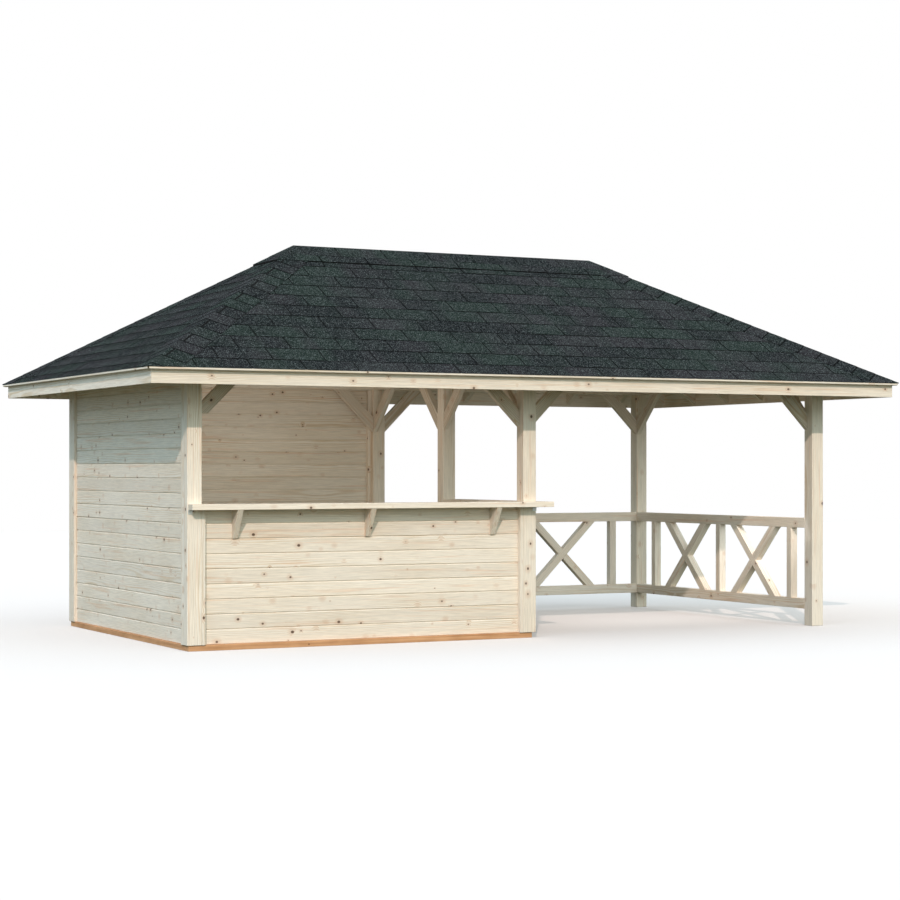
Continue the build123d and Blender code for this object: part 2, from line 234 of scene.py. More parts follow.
def spruceMaterial(name, source, endGrain=False):
    # source: "grain" reads the piece's own attribute, otherwise a turn that lays Object X along the fibres
    mat = bpy.data.materials.new(name)
    t = emptyTree(mat)
    if source == "grain":
        grain = addNode(t, "Attribute", {"attribute_name": "grain"}, {})["Vector"]
        tone = addNode(t, "Attribute", {"attribute_name": "tone"}, {})["Fac"]
    else:
        place = addNode(t, "TexCoord", {}, {})["Object"]
        turned = {"Vector": place, "Rotation": source, "Location": (0.3, 0.05, 0.07)}
        grain = addNode(t, "Mapping", {"vector_type": "POINT"}, turned)[0]
        tone = addNode(t, "TexNoise", {}, {"Vector": place, "Scale": 1.7})["Fac"]
    # slow wander of the fibres sideways, a few millimetres over half a metre
    slow = addNode(t, "VectorMath", times, {0: grain, 1: (1.1, 3.0, 3.0)})[0]
    wander = addNode(t, "TexNoise", {}, {"Vector": slow, "Scale": 1.0, "Detail": 2.0, "Roughness": 0.45})["Color"]
    swing, back = (0.0, spruce["wander"], spruce["wander"]), (0.0, -spruce["wander"] / 2, -spruce["wander"] / 2)
    shift = addNode(t, "VectorMath", timesPlus, {0: wander, 1: swing, 2: back})[0]
    # knots: spheres at jittered places, stretched a little along the fibres
    squeezed = addNode(t, "VectorMath", times, {0: grain, 1: (0.8, 1.0, 1.0)})[0]
    cells = addNode(t, "TexVoronoi", {}, {"Vector": squeezed, "Scale": 1 / spruce["knotCell"]})
    pick = addNode(t, "SeparateColor", {}, {"Color": cells["Color"]})["Red"]
    reach = spruce["knotRadius"] / spruce["knotCell"]
    radius = addNode(t, "MapRange", {}, {"Value": pick, "From Min": spruce["knotless"],
                                         "To Min": reach * 0.02, "To Max": reach})[0]
    depth = addNode(t, "Math", {"operation": "DIVIDE"}, {0: cells["Distance"], 1: radius})[0]
    core = addNode(t, "MapRange", softRange, {"Value": depth, "From Min": 1.0, "From Max": 0.62})[0]
    halo = addNode(t, "MapRange", softRange, {"Value": depth, "From Min": 3.2, "From Max": 0.8})[0]
    bulge = addNode(t, "Math", times, {0: halo, 1: spruce["knotBulge"]})[0]
    # growth rings: distance from the pith over the ring pitch, as a wave
    bent = addNode(t, "VectorMath", plus, {0: grain, 1: shift})[0]
    flat = addNode(t, "VectorMath", times, {0: bent, 1: (spruce["taper"], 1.0, 1.0)})[0]
    fromPith = addNode(t, "VectorMath", {"operation": "LENGTH"}, {0: flat})["Value"]
    pushed = addNode(t, "Math", plus, {0: fromPith, 1: bulge})[0]
    phase = addNode(t, "Math", times, {0: pushed, 1: 2 * math.pi / spruce["ringPitch"]})[0]
    wave = addNode(t, "Math", {"operation": "SINE"}, {0: phase})[0]
    ring = addNode(t, "MapRange", softRange, {"Value": wave, "From Min": -0.1, "From Max": 1.0})[0]
    # fibres and the reddish streaks are noise drawn out along the timber
    thin, wide = 1 / spruce["fibre"], 1 / spruce["streakWidth"]
    fine = addNode(t, "VectorMath", times, {0: bent, 1: (6.0, thin, thin)})[0]
    fibre = addNode(t, "TexNoise", {}, {"Vector": fine, "Scale": 1.0, "Detail": 3.0, "Roughness": 0.65})["Fac"]
    drawn = addNode(t, "VectorMath", times, {0: bent, 1: (1.1, wide, wide)})[0]
    band = addNode(t, "TexNoise", {}, {"Vector": drawn, "Scale": 1.0, "Detail": 2.0})["Fac"]
    streak = addNode(t, "MapRange", softRange, {"Value": band, "From Min": 0.56, "From Max": 0.74,
                                                "To Max": spruce["streakStrength"]})[0]
    # how strongly the rings show changes from place to place
    patch = addNode(t, "TexNoise", {}, {"Vector": slow, "Scale": 0.9, "Detail": 1.0})["Fac"]
    weak, strong = spruce["ringStrength"]
    strength = addNode(t, "MapRange", {}, {"Value": patch, "From Min": 0.4, "From Max": 0.65,
                                           "To Min": weak, "To Max": strong})[0]
    rings = addNode(t, "Math", times, {0: ring, 1: spruce["endRings"] if endGrain else strength})[0]

    colour = srgb(spruce["early"])
    for factor, other in ((rings, "late"), (streak, "streak")):
        colour = addNode(t, "Mix", colourMix, {0: factor, 6: colour, 7: srgb(spruce[other])})[2]
    low, high = spruce["fibreTone"]
    shade = addNode(t, "MapRange", {}, {"Value": fibre, "From Min": 0.3, "From Max": 0.7,
                                        "To Min": low, "To Max": high})[0]
    low, high = spruce["boardTone"]
    one = addNode(t, "MapRange", {}, {"Value": tone, "To Min": low, "To Max": high})[0]
    shade = addNode(t, "Math", times, {0: shade, 1: one})[0]
    if endGrain:
        shade = addNode(t, "Math", times, {0: shade, 1: spruce["endTone"]})[0]
    grey = addNode(t, "CombineXYZ", {}, {0: shade, 1: shade, 2: shade})[0]
    colour = addNode(t, "Mix", {"data_type": "RGBA", "blend_type": "MULTIPLY"}, {0: 1.0, 6: colour, 7: grey})[2]
    for spot, other in ((halo, "knotHalo"), (core, "knot")):
        factor = addNode(t, "Math", times, {0: spot, 1: spruce[other + "Strength"]})[0]
        colour = addNode(t, "Mix", colourMix, {0: factor, 6: colour, 7: srgb(spruce[other])})[2]
    # relief: fibres stand 0.1 mm proud, rings 0.2 mm, knots a little more
    relief = addNode(t, "Math", timesPlus, {0: rings, 1: 0.8, 2: fibre})[0]
    relief = addNode(t, "Math", timesPlus, {0: core, 1: 1.2, 2: relief})[0]
    low, high = spruce["roughness"]
    rough = addNode(t, "MapRange", {}, {"Value": fibre, "To Min": low, "To Max": high})[0]
    finishMaterial(t, spruce, colour, rough, relief)
    return mat


# Pressure impregnated base timber: brown stain with darker fibres, matt
impregnated = {"light": "#DAA77C", "dark": "#B28056", "knot": "#5A3217", "knotsPerMetre": 9.0,
               "roughness": 0.72, "shader": {"IOR": 1.5, "Specular IOR Level": 0.3},
               "bump": {"Strength": 0.4, "Distance": 0.0006}}


def impregnatedMaterial(name):
    mat = bpy.data.materials.new(name)
    t = emptyTree(mat)
    look = impregnated
    grain = addNode(t, "Attribute", {"attribute_name": "grain"}, {})["Vector"]
    drawn = addNode(t, "VectorMath", times, {0: grain, 1: (1.5, 60.0, 60.0)})[0]
    band = addNode(t, "TexNoise", {}, {"Vector": drawn, "Scale": 1.0, "Detail": 4.0, "Roughness": 0.6})["Fac"]
    blotch = addNode(t, "TexNoise", {}, {"Vector": grain, "Scale": 6.0, "Detail": 2.0})["Fac"]
    both = addNode(t, "Math", timesPlus, {0: blotch, 1: 0.5, 2: band})[0]
    dark = addNode(t, "MapRange", {}, {"Value": both, "From Min": 0.55, "From Max": 1.0})[0]
    cells = addNode(t, "TexVoronoi", {}, {"Vector": grain, "Scale": look["knotsPerMetre"]})["Distance"]
    knot = addNode(t, "MapRange", softRange, {"Value": cells, "From Min": 0.09, "From Max": 0.05})[0]
    colour = srgb(look["light"])
    for factor, other in ((dark, "dark"), (knot, "knot")):
        colour = addNode(t, "Mix", colourMix, {0: factor, 6: colour, 7: srgb(look[other])})[2]
    finishMaterial(t, look, colour, look["roughness"], band)
    return mat


# Bitumen shingle with crushed slate on it: near black with green-grey and plum-grey patches and
# pale grains. Real grains are 1-2 mm, drawn at 7 mm so that they show from 17 m.
slate = {
    "dark": "#101315", "green": "#1B2521", "plum": "#262327", "pale": "#777E7F",
    "corner": "#030404",         # in the shade under the next piece's edge
    "grainSize": 0.0075,
    "patchLength": 0.60,         # the patches change along a strip about this often
    "roughness": 0.95, "shader": {"IOR": 1.5, "Specular IOR Level": 0.02},
    "bump": {"Strength": 0.6, "Distance": 0.0015},
}


def slateMaterial(name):
    mat = bpy.data.materials.new(name)
    t = emptyTree(mat)
    place = addNode(t, "Attribute", {"attribute_name": "strip"}, {})["Vector"]
    body = addNode(t, "TexCoord", {}, {})["Object"]
    # patches jump from one strip to the next
    patches = addNode(t, "TexNoise", {}, {"Vector": place, "Scale": 1 / slate["patchLength"], "Detail": 2.0,
                                          "Roughness": 0.6})["Color"]
    split = addNode(t, "SeparateColor", {}, {"Color": patches})
    toGreen = addNode(t, "MapRange", softRange, {"Value": split["Red"], "From Min": 0.42, "From Max": 0.62})[0]
    toPlum = addNode(t, "MapRange", softRange, {"Value": split["Green"], "From Min": 0.46, "From Max": 0.64,
                                                "To Max": 0.75})[0]
    grains = addNode(t, "TexNoise", {}, {"Vector": body, "Scale": 1 / slate["grainSize"], "Detail": 2.0,
                                         "Roughness": 0.7})["Fac"]
    coarse = addNode(t, "TexNoise", {}, {"Vector": body, "Scale": 0.3 / slate["grainSize"], "Detail": 3.0})["Fac"]
    mixed = addNode(t, "Math", timesPlus, {0: coarse, 1: 0.2, 2: grains})[0]
    speck = addNode(t, "MapRange", softRange, {"Value": mixed, "From Min": 0.60, "From Max": 0.84,
                                               "To Max": 0.85})[0]
    # "lap" falls from 1 to 0 towards the next piece's edge, where the colour turns to "corner": painted shade under
    # that edge
    lap = addNode(t, "Attribute", {"attribute_name": "lap"}, {})["Fac"]
    corner = addNode(t, "MapRange", softRange, {"Value": lap, "From Min": 1.0, "From Max": 0.5, "To Max": 0.85})[0]
    colour = srgb(slate["dark"])
    for factor, other in ((toGreen, "green"), (toPlum, "plum"), (speck, "pale"), (corner, "corner")):
        colour = addNode(t, "Mix", colourMix, {0: factor, 6: colour, 7: srgb(slate[other])})[2]
    finishMaterial(t, slate, colour, slate["roughness"], mixed)
    return mat


# Cut edge and underside of a shingle: bare bitumen, black with a faint shine
bitumen = {"deep": "#070808", "light": "#111313", "lumpsPerMetre": 90.0, "roughness": 0.8,
           "shader": {"IOR": 1.5, "Specular IOR Level": 0.05}, "bump": {"Strength": 0.4, "Distance": 0.001}}


def bitumenMaterial(name):
    mat = bpy.data.materials.new(name)
    t = emptyTree(mat)
    look = bitumen
    body = addNode(t, "TexCoord", {}, {})["Object"]
    lumps = addNode(t, "TexNoise", {}, {"Vector": body, "Scale": look["lumpsPerMetre"], "Detail": 3.0})["Fac"]
    colour = addNode(t, "Mix", colourMix, {0: lumps, 6: srgb(look["deep"]), 7: srgb(look["light"])})[2]
    finishMaterial(t, look, colour, look["roughness"], lumps)
    return mat


# Hot dip galvanised steel: pale grey metal with soft spangles
galvanised = {"dark": "#C4C8C6", "light": "#DDE0DC", "spanglesPerMetre": 160.0, "roughness": (0.38, 0.55),
              "shader": {"Metallic": 1.0}, "bump": {"Strength": 0.15, "Distance": 0.0002}}


def zincMaterial(name):
    mat = bpy.data.materials.new(name)
    t = emptyTree(mat)
    look = galvanised
    body = addNode(t, "TexCoord", {}, {})["Object"]
    cells = addNode(t, "TexVoronoi", {}, {"Vector": body, "Scale": look["spanglesPerMetre"]})["Color"]
    grey = addNode(t, "SeparateColor", {}, {"Color": cells})["Red"]
    colour = addNode(t, "Mix", colourMix, {0: grey, 6: srgb(look["dark"]), 7: srgb(look["light"])})[2]
    smooth, dull = look["roughness"]
    rough = addNode(t, "MapRange", {}, {"Value": grey, "To Min": smooth, "To Max": dull})[0]
    finishMaterial(t, look, colour, rough, grey)
    return mat


planedSpruce = spruceMaterial("planedSpruce", "grain")
spruceEndGrain = spruceMaterial("spruceEndGrain", "grain", endGrain=True)
timber = (planedSpruce, spruceEndGrain)
brownBase = impregnatedMaterial("impregnatedPine")
baseTimber = (brownBase, brownBase)
slateFelt = slateMaterial("slatedBitumenFelt")
bareBitumen = bitumenMaterial("bareBitumen")
zinc = zincMaterial("galvanisedSteel")
print("materials made")


frameTimber = {"postEase": 0.005, "beamEase": 0.004, "baseEase": 0.003}
postBack = boxOf("post_back_right")
xOut, yOut = postBack[1][0], postBack[1][1]
xIn, yIn = postBack[0][0], postBack[0][1]
postSize = xOut - xIn
xMid = postSize / 2
zBase = boxOf("base_frame")[1][2]
zBeam = postBack[1][2]


# A stick that fills a box, with its fibres along one axis
def boxStick(low, high, axis, ease):
    low, high = np.asarray(low, float), np.asarray(high, float)
    along = int(np.argmax(axis))
    a, b = [i for i in range(3) if i != along]
    size = high - low
    outline = easedOutline(rectangle(size[a], size[b]), ease)
    unit = np.eye(3)
    return stick(outline, (low + high) / 2, axis, unit[a], unit[b], [(low, axis), (high, axis)], ease * 0.6)


# Spruce sticks that stand for one CAD node
def sprucePiece(node, sticks):
    timberPiece("timber_" + node, sticks, timber, spruceSlot, node)


posts = ("front_left", "front_middle", "front_right", "back_left", "back_middle", "back_right", "centre")
beams = {"beam_front": xAxis, "beam_back": xAxis, "beam_left": yAxis, "beam_right": yAxis, "tie_beam": yAxis}
sticks = {"post_" + name: (zAxis, frameTimber["postEase"]) for name in posts}
sticks.update({name: (axis, frameTimber["beamEase"]) for name, axis in beams.items()})
for node, (axis, ease) in sticks.items():
    sprucePiece(node, [boxStick(*boxOf(node), axis, ease)])

# Base: two long plates, and two short ones between them with a hair's gap
plate = {"width": 0.095, "gap": 0.0003}
low, high = boxOf("base_frame")
innerLow, innerHigh = low[1] + plate["width"] + plate["gap"], high[1] - plate["width"] - plate["gap"]
plates = [
    boxStick(low, (high[0], low[1] + plate["width"], high[2]), xAxis, frameTimber["baseEase"]),
    boxStick((low[0], high[1] - plate["width"], 0), high, xAxis, frameTimber["baseEase"]),
]
for x0 in (low[0], high[0] - plate["width"]):
    ends = (x0, innerLow, 0), (x0 + plate["width"], innerHigh, high[2])
    plates.append(boxStick(*ends, yAxis, frameTimber["baseEase"]))
timberPiece("timber_base", plates, baseTimber, baseSlot, "base_frame")
print("posts, beams and base plates made")


brace = {"width": 0.100, "reach": 0.403, "ease": 0.004, "cutToe": 0.078}


# Side view of a brace that leans at 45 degrees from a post towards the beam, carried through its thickness:
# plumb cut on the post, level cut on the beam; "toe" takes that much off the tip with one more level cut
def braceStick(faceAt, direction, run, across, toe=0.0):
    low, high = zBeam - brace["reach"], zBeam
    plumbCut = brace["width"] * math.sqrt(2)
    outline = [(toe, low + toe), (brace["reach"], high), (brace["reach"] - plumbCut, high), (0, low + plumbCut)]
    if toe:
        outline.append((0, low + toe))
    other = yAxis if run is xAxis else xAxis
    side = run * direction
    foot = run * faceAt
    planes = [(other * across[0], other), (other * across[1], other)]
    outline = easedOutline(outline, brace["ease"])
    return stick(outline, foot, other, side, zAxis, planes, brace["ease"] * 0.7, grain=side + zAxis)


rowX = [(-xIn, 1), (-xMid, -1), (xMid, 1), (xIn, -1)]
for node in ("braces_front", "braces_back"):
    low, high = boxOf(node)
    toes = [brace["cutToe"] if node == "braces_front" else 0.0, 0.0, 0.0, 0.0]     # the first one ends short
    sprucePiece(node, [braceStick(a, d, xAxis, (low[1], high[1]), toe) for (a, d), toe in zip(rowX, toes)])
rowY = {"braces_right": [(-yIn, 1), (yIn, -1)], "braces_tie": [(-yIn, 1), (yIn, -1), (-xMid, -1), (xMid, 1)]}
for node, row in rowY.items():
    low, high = boxOf(node)
    sprucePiece(node, [braceStick(a, d, yAxis, (low[0], high[0])) for a, d in row])
print("knee braces made")


board = {"cover": 0.118, "thickness": 0.020, "chamfer": 0.005, "gap": 0.0030,
         "tongue": (0.006, 0.008), "groove": (0.007, 0.009)}


# Section of one tongue and groove board: V chamfers on both faces, tongue on top, groove below
def boardSection(height, last):
    half, c = board["thickness"] / 2, board["chamfer"]
    t, up = board["tongue"][0] / 2, board["tongue"][1]
    g, inner = board["groove"][0] / 2, board["groove"][1]
    foot = [(half - c, 0), (g, 0), (g, inner), (-g, inner), (-g, 0), (-half + c, 0), (-half, c)]
    if last:
        return [(half, c)] + foot + [(-half, height), (half, height)]
    top = height - board["gap"]
    crown = [(-half, top - c), (-half + c, top), (-t, top), (-t, top + up),
             (t, top + up), (t, top), (half - c, top), (half, top - c)]
    return [(half, c)] + foot + crown


# Boards of one wall, laid from the base up between two posts
def boardedWall(name, node, run):
    low, high = boxOf(node)
    across = yAxis if run is xAxis else xAxis
    middle = (low + high) / 2
    sticks = []
    z = low[2]
    while z < high[2] - 1e-4:
        last = z + board["cover"] > high[2] - board["chamfer"]
        height = high[2] - z if last else board["cover"]
        if height > 2 * board["chamfer"]:
            foot = middle * (1 - zAxis) + zAxis * z
            ends = [(low, run), (high, run)]
            section = boardSection(height, last)
            sticks.append(stick(section, foot, run, across, zAxis, ends, 0.0005, wobble=0.0003))
        z += board["cover"]
    return timberPiece(name, sticks, timber, spruceSlot, node)


boardedWall("boards_left_wall", "left_wall", yAxis)
boardedWall("boards_back_wall", "back_wall", xAxis)
boardedWall("boards_front_counter", "front_counter_wall", xAxis)
boardedWall("boards_side_counter", "side_counter_wall", yAxis)

batten = {"width": 0.030, "depth": 0.045, "ease": 0.003}
leftWall, backWall = boxOf("left_wall"), boxOf("back_wall")
frontCounter, sideCounter = boxOf("front_counter_wall"), boxOf("side_counter_wall")


# A batten's width at each end of a run
def endStrips(run):
    return [(run[0], run[0] + batten["width"]), (run[1] - batten["width"], run[1])]


strips = []
for x0, x1 in endStrips((-xIn, -xMid)):
    top = frontCounter[1][2]
    strips.append(((x0, -yOut, zBase), (x1, frontCounter[0][1], top)))
    strips.append(((x0, frontCounter[1][1], zBase), (x1, frontCounter[1][1] + batten["depth"], top)))
    strips.append(((x0, backWall[0][1] - batten["depth"], zBase), (x1, backWall[0][1], zBeam)))
for y0, y1 in endStrips((-yIn, yIn)):
    strips.append(((-xOut, y0, zBase), (leftWall[0][0], y1, zBeam)))
    strips.append(((leftWall[1][0], y0, zBase), (leftWall[1][0] + batten["depth"], y1, zBeam)))
for y0, y1 in endStrips((-yIn, -xMid)):
    top = sideCounter[1][2]
    strips.append(((sideCounter[1][0], y0, zBase), (xMid, y1, top)))
    strips.append(((sideCounter[0][0] - batten["depth"], y0, zBase), (sideCounter[0][0], y1, top)))
sprucePiece("wall_battens", [boxStick(a, b, zAxis, batten["ease"]) for a, b in strips])
print("walls boarded")


# noseTone: painted light, the front shelf plank's board tone, set to the lightest
counter = {"noseTone": 1.0, "ease": 0.003,
           "bracketHeight": 0.228, "toe": 0.013, "setback": 0.003, "thickness": 0.045,
           "lead": 0.286, "spacing": 1.140}      # from a post to the first bracket's middle, then to the next
frontShelf, sideShelf = boxOf("front_shelf"), boxOf("side_shelf")
shelfLow, shelfHigh = frontShelf[0][2], frontShelf[1][2]
planks = [
    boxStick(frontShelf[0], (frontShelf[1][0], -yOut, shelfHigh), xAxis, counter["ease"]),
    boxStick((-xIn, -yOut, shelfLow), (-xMid, -yIn, shelfHigh), xAxis, counter["ease"]),
]
# painted light: the front plank takes the lightest board tone so that its sunlit nose reads brighter
planks[0]["tone"][:] = counter["noseTone"]
sprucePiece("front_shelf", planks)
planks = [
    boxStick((xMid, -yOut, shelfLow), (sideShelf[1][0], sideShelf[1][1], shelfHigh), yAxis, counter["ease"]),
    boxStick((-xMid, -yIn, shelfLow), (xMid, -xMid, shelfHigh), yAxis, counter["ease"]),
]
sprucePiece("side_shelf", planks)


# Shelf bracket: a tapered side view carried through its thickness
def bracketStick(faceAt, outward, through, at, depth):
    low = shelfLow - counter["bracketHeight"]
    outline = easedOutline([(0, low), (counter["toe"], low), (depth, shelfLow), (0, shelfLow)], counter["ease"])
    half = counter["thickness"] / 2
    planes = [(through * (at - half), through), (through * (at + half), through)]
    lean = zAxis + outward * 0.3                      # the fibres follow the sloping front
    return stick(outline, faceAt, through, outward, zAxis, planes, counter["ease"] * 0.6, grain=lean)


nose = frontShelf[0][1]
frontFace = frontCounter[0][1]
sideFace = sideCounter[1][0]
brackets = []
for k in range(3):
    at = -xIn + counter["lead"] + k * counter["spacing"]
    brackets.append(bracketStick(yAxis * frontFace, -yAxis, xAxis, at, frontFace - nose - counter["setback"]))
for at in (-yIn + counter["lead"], -xMid - counter["lead"]):
    depth = sideShelf[1][0] - sideFace - counter["setback"]
    brackets.append(bracketStick(xAxis * sideFace, xAxis, yAxis, at, depth))
sprucePiece("shelf_brackets", brackets)

# Small steel angles between the posts' front faces and the shelf: one leg up, one leg out, 2.5 mm thick
angle = {"leg": 0.034, "reach": 0.040, "width": 0.037, "thickness": 0.0025, "ease": 0.0008,
         "at": (-3.014, 0.026), "gap": 0.0005}
plates = []
face, top = -yOut - angle["gap"], shelfLow - angle["gap"]
inner = face - angle["thickness"]
for x0 in angle["at"]:
    x1 = x0 + angle["width"]
    plates.append(boxStick((x0, inner, top - angle["leg"]), (x1, face, top), zAxis, angle["ease"]))
    lowCorner = (x0, inner - angle["reach"], top - angle["thickness"])
    plates.append(boxStick(lowCorner, (x1, inner, top), yAxis, angle["ease"]))
timberPiece("steel_angles", plates, (zinc,), None)
print("counters made")


railing = {"clearance": 0.105, "railHeight": 0.090, "top": 0.928, "bar": 0.070, "ease": 0.004, "endEase": 0.001,
           "right_railing": (0.242, 0.322), "back_railing": (0.211, 0.281)}    # from its ends to the outer balusters


# Two rails, three balusters and two crosses between them; one bar of each cross runs through
# and the other is let into it on both sides
def railingSticks(run, across, start, end, ends):
    low = zBase + railing["clearance"]
    high = zBase + railing["top"]
    bottom, top = low + railing["railHeight"], high - railing["railHeight"]
    other = yAxis if run is xAxis else xAxis
    side = other * (across[0] + across[1]) / 2
    depth = across[1] - across[0]
    rail = easedOutline(rectangle(railing["railHeight"], depth), railing["ease"])
    bar = easedOutline(rectangle(railing["bar"], depth), railing["ease"])
    stops = [(run * start, run), (run * end, run)]
    levels = (low + railing["railHeight"] / 2, high - railing["railHeight"] / 2)
    sticks = [stick(rail, side + zAxis * level, run, zAxis, other, stops) for level in levels]
    stops = [(zAxis * bottom, zAxis), (zAxis * top, zAxis)]
    pitch = (end - start - sum(ends)) / 4
    for k in range(5):
        centre = side + run * (start + ends[0] + k * pitch) + zAxis * (bottom + top) / 2
        if k % 2 == 0:
            sticks.append(stick(bar, centre, zAxis, run, other, stops, railing["endEase"]))
            continue
        up = (run + zAxis) / math.sqrt(2)
        down = (run - zAxis) / math.sqrt(2)
        sticks.append(stick(bar, centre, up, down, other, stops, railing["endEase"]))
        half = railing["bar"] / 2
        upper = [(zAxis * top, zAxis), (centre - down * half, down)]
        lower = [(centre + down * half, down), (zAxis * bottom, zAxis)]
        sticks += [stick(bar, centre, down, up, other, part, railing["endEase"]) for part in (upper, lower)]
    return sticks


for node, run in (("right_railing", yAxis), ("back_railing", xAxis)):
    low, high = boxOf(node)
    other = yAxis if run is xAxis else xAxis
    sprucePiece(node, railingSticks(run, (low @ other, high @ other), low @ run, high @ run, railing[node]))
print("railings made")


roof = {"pitch": math.radians(29.7), "boardReach": 0.0405, "boardThickness": 0.014, "shingleReach": 0.043}
tanP = math.tan(roof["pitch"])
plumb = 1 / math.cos(roof["pitch"])
fasciaFront, fasciaRight = boxOf("fascia_front"), boxOf("fascia_right")
# tone: each side's fascia takes its own board tone, painted light and shade: the front one darker, the left one
# lighter
fasciaShape = {"thickness": 0.020, "height": 0.123, "ease": 0.003,
               "tone": {"front": 0.35, "back": 0.85, "left": 1.1, "right": 0.85}}
eaveX, eaveY = fasciaRight[1][0], -fasciaFront[0][1]
eaveZ = fasciaFront[0][2] + fasciaShape["height"]
ridgeHalf = boxOf("ridge_board")[1][0]
endRun = (eaveX - ridgeHalf) / eaveY            # the end slopes are a little steeper than the long ones


# One slope as seen from outside: it faces "out", its eave runs along "run", "up" climbs it.
# "half" is half the fascia's length, "grow" what that gains per unit of reach, "step" how far the slope goes in
# per unit that the long ones do.
def slopeAt(side):
    out = {"front": -yAxis, "back": yAxis, "left": -xAxis, "right": xAxis}[side]
    run = np.cross(zAxis, out)
    isEnd = side in ("left", "right")
    step = endRun if isEnd else 1.0
    rise = math.hypot(step, tanP)
    return {"out": out, "run": run, "step": step, "cos": step / rise,
            "up": (-out * step + zAxis * tanP) / rise,
            "normal": (out * tanP + zAxis * step) / rise,
            "distance": eaveX if isEnd else eaveY,
            "half": eaveY if isEnd else eaveX,
            "grow": 1.0 if isEnd else endRun}


# The eave line of a slope at a reach outside the fascia and a lift square to the long slopes:
# its middle point and half its length. "stretch" moves both end slopes outwards.
def eaveLine(slope, reach, lift, stretch=0.0):
    isEnd = slope["step"] != 1.0
    middle = slope["out"] * (slope["distance"] + reach * slope["step"] + (stretch if isEnd else 0.0))
    half = slope["half"] + reach * slope["grow"] + (0.0 if isEnd else stretch)
    return middle + zAxis * (eaveZ - reach * tanP + lift * plumb), half


# Upright planes along the hips that end a slope's boards on both sides, "gap" short of the hip
def mitres(slope, reach, gap=0.0):
    middle, half = eaveLine(slope, reach, 0)
    half = half - gap
    along = slope["grow"] / slope["step"]
    left = (middle - slope["run"] * half, slope["run"] + slope["out"] * along)
    right = (middle + slope["run"] * half, slope["run"] - slope["out"] * along)
    return [left, right]


# Length of a slope from its eave line up to the ridge
def slopeLength(slope, reach):
    return (eaveY + reach) * slope["step"] / slope["cos"]


slopes = {side: slopeAt(side) for side in ("front", "back", "left", "right")}

for side, slope in slopes.items():
    th, high = fasciaShape["thickness"] * slope["step"], fasciaShape["height"]
    outline = [(0, -high), (0, 0), (-th, th * tanP / slope["step"]), (-th, -high)]
    outline = easedOutline(outline, fasciaShape["ease"])
    foot = eaveLine(slope, 0, 0)[0]
    fascia = stick(outline, foot, slope["run"], slope["out"], zAxis, mitres(slope, 0), 0.0008)
    # painted light and shade: the fascia's tone depends on the side it faces
    fascia["tone"][:] = fasciaShape["tone"][side]
    sprucePiece("fascia_" + side, [fascia])

# Roof boards: boards along the eave, V joint on the underside, ends mitred on the hips.
# The lowest one has a chamfer below and a strip on it that tilts the first shingles.
edge = {"chamfer": 0.0075, "tilt": 0.0064, "tiltDepth": 0.045, "mitreGap": 0.011, "joint": 0.0035,
        "narrowest": 0.012}      # what is left below the ridge gets a board if it is wider
for side, slope in slopes.items():
    foot = eaveLine(slope, roof["boardReach"], 0)[0]        # lowest edge of the boards' underside
    thick = roof["boardThickness"] * plumb * slope["cos"]
    lean = slope["normal"] @ slope["out"] / slope["cos"]    # a plumb cut's way up the slope per thickness
    length = slopeLength(slope, roof["boardReach"])
    c = edge["joint"]
    sticks = []
    t = 0.0
    while t < length - edge["narrowest"]:
        far = min(t + board["cover"], length)
        upper = [(far - c, 0), (far, c), (far, thick)]
        if t == 0:
            high = thick + edge["tilt"]
            under = edge["chamfer"]
            strip = [(edge["tiltDepth"], thick), (high * lean, high), (under * lean, under)]
            shape = [(under * 1.1, 0)] + upper + strip
        else:
            shape = [(t + c, 0)] + upper + [(t, thick), (t, c)]
        ends = mitres(slope, roof["boardReach"], edge["mitreGap"] if t == 0 else 0.0)
        sticks.append(stick(shape, foot, slope["run"], slope["up"], slope["normal"], ends, 0.0))
        t = far
    sprucePiece("roof_boards_" + side, sticks)
print("fascia and roof boards made")

# Rafters, hips and ridge board keep their solids
endPitch = math.atan(tanP / endRun)
underRoof = {
    "rafters_front": (roof["pitch"], 0, math.pi / 2), "rafters_back": (-roof["pitch"], 0, math.pi / 2),
    "rafters_left": (0, endPitch, 0), "rafters_right": (0, -endPitch, 0),
    "ridge_board": (0, 0, 0), "hip_rafters": (0, 0, math.pi / 4),
}
for node, turn in underRoof.items():
    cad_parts[node].data.materials.clear()
    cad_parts[node].data.materials.append(spruceMaterial("planedSpruce_" + node, turn))

# Pairs are for the long slopes and for the end ones
shingle = {
    "tab": 0.4445, "row": (0.2005, 0.1725), "firstRow": (0.1645, 0.111),
    "shift": (0.003, 0.1),       # where the first cut lies
    "lap": 0.012, "cut": 0.010, "thickness": 0.0055,
    "top": 0.0100, "low": 0.0045,                # height over the boards at the butt and under the next row
    "curl": 0.0034,              # the butt's corners lie up to this much lower
    "dark": ((0.001, 0.0), (0.11, 0.80)),        # reach of the shade below the next row, and its limit
    "first": {"top": 0.0090, "thickness": 0.0020},
    "narrowest": 0.02,           # what is left below the ridge gets a row if it is wider
    "felt": {"start": 0.003, "height": 0.0020, "thickness": 0.0004},
}


# Points of a slope from their place along the eave, up the slope and plumb over the boards
def onSlope(slope, foot, along, t, high):
    return foot + along[..., None] * slope["run"] + t[..., None] * slope["up"] + high[..., None] * plumb * zAxis


